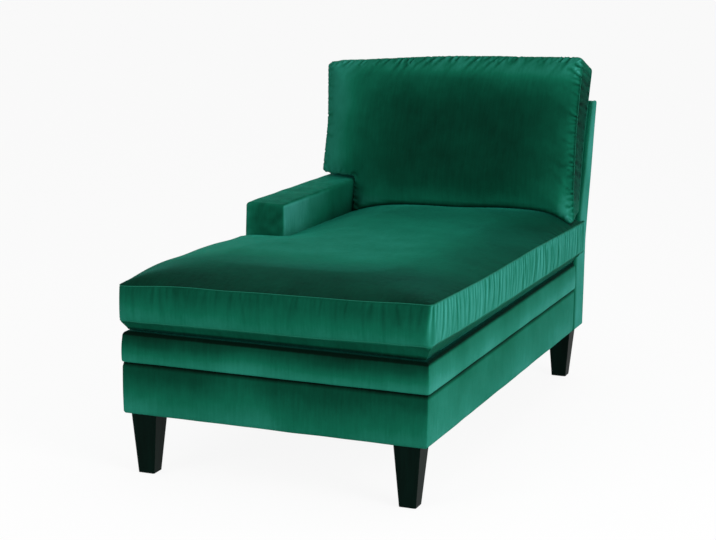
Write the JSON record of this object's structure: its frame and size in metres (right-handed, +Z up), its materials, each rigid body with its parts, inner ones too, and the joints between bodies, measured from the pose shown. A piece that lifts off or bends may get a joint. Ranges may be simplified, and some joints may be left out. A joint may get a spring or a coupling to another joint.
{
  "type": "recamier",
  "caption": "Upholstered chaise with an arm on its left side only, a boxed base on tapered legs, a loose T-shaped seat cushion and a loose notched back cushion.",
  "frame": {"origin": "middle of the bounding box on the floor", "axes": "+Z up, the foot end faces -Y, the back is at +Y and the arm is on -X"},
  "size_m": [0.835, 1.5753, 0.9894],
  "materials": {
    "velvet": "pile",
    "leg_timber": "satin lacquer",
    "frame_timber": "sawn",
    "lining_board": "matt",
    "foam": "open cell foam",
    "felt": "needled felt",
    "fibre": "loose fibre in a cloth",
    "webbing": "woven",
    "base_cloth": "non-woven",
    "zip_tape": "woven",
    "steel": "zinc plated",
    "glide_plastic": "moulded"
  },
  "bodies": {
    "frame": {"arm_cover": "velvet", "arm_front_post": "frame_timber", "arm_inner_lining": "lining_board", "arm_inner_rail": "frame_timber", "arm_outer_lining": "lining_board", "arm_pad": "foam", "arm_rear_post": "frame_timber", "arm_top_board": "frame_timber", "back_frame_bolts": "steel", "back_frame_nuts": "steel", "back_front_foot_rail": "frame_timber", "back_left_post": "frame_timber", "back_lumbar_rail": "frame_timber", "back_pad": "foam", "back_rear_foot_rail": "frame_timber", "back_right_post": "frame_timber", "back_top_rail": "frame_timber", "back_webbing": "webbing", "corner_block_front_left": "frame_timber", "corner_block_front_right": "frame_timber", "corner_block_rear_left": "frame_timber", "corner_block_rear_right": "frame_timber", "crosswise_webbing": "webbing", "deck_back_rail": "frame_timber", "deck_cloth": "base_cloth", "deck_edge_roll": "foam", "deck_pad": "felt", "dust_cover": "base_cloth", "front_cross_rail": "frame_timber", "front_rail": "frame_timber", "inside_back_cover": "velvet", "left_back_side_cover": "velvet", "left_side_rail": "frame_timber", "leg_front_left": "leg_timber", "leg_front_right": "leg_timber", "leg_glides": "glide_plastic", "leg_hanger_bolts": "steel", "leg_rear_left": "leg_timber", "leg_rear_right": "leg_timber", "leg_threaded_inserts": "steel", "lengthwise_webbing": "webbing", "lower_base_cover": "velvet", "outside_arm_cover": "velvet", "outside_back_cover": "velvet", "outside_back_lining": "lining_board", "rear_cross_rail": "frame_timber", "right_back_side_cover": "velvet", "right_side_rail": "frame_timber", "upper_band_cover": "velvet"},
    "seat_cushion": {"seat_cushion_cover": "velvet", "seat_cushion_foam": "foam", "seat_cushion_lower_fibre": "fibre", "seat_cushion_upper_fibre": "fibre", "seat_cushion_zip": "zip_tape"},
    "seat_zip": {"seat_cushion_zip_slider": "steel"},
    "back_cushion": {"back_cushion_cover": "velvet", "back_cushion_insert": "fibre", "back_cushion_zip": "zip_tape"},
    "back_zip": {"back_cushion_zip_slider": "steel"}
  },
  "joints": [
    {"name": "seat_cushion_lift", "type": "slide", "parent": "frame", "child": "seat_cushion", "axis": [0, 0, 1], "range_m": [0, 0.5]},
    {"name": "back_cushion_lift", "type": "slide", "parent": "seat_cushion", "child": "back_cushion", "axis": [0, 0, 1], "range_m": [0, 0.4]},
    {"name": "seat_zip_slide", "type": "slide", "parent": "seat_cushion", "child": "seat_zip", "axis": [1, 0, 0], "range_m": [0, 0.53]},
    {"name": "back_zip_slide", "type": "slide", "parent": "back_cushion", "child": "back_zip", "axis": [1, 0, 0], "range_m": [0, 0.53]}
  ]
}
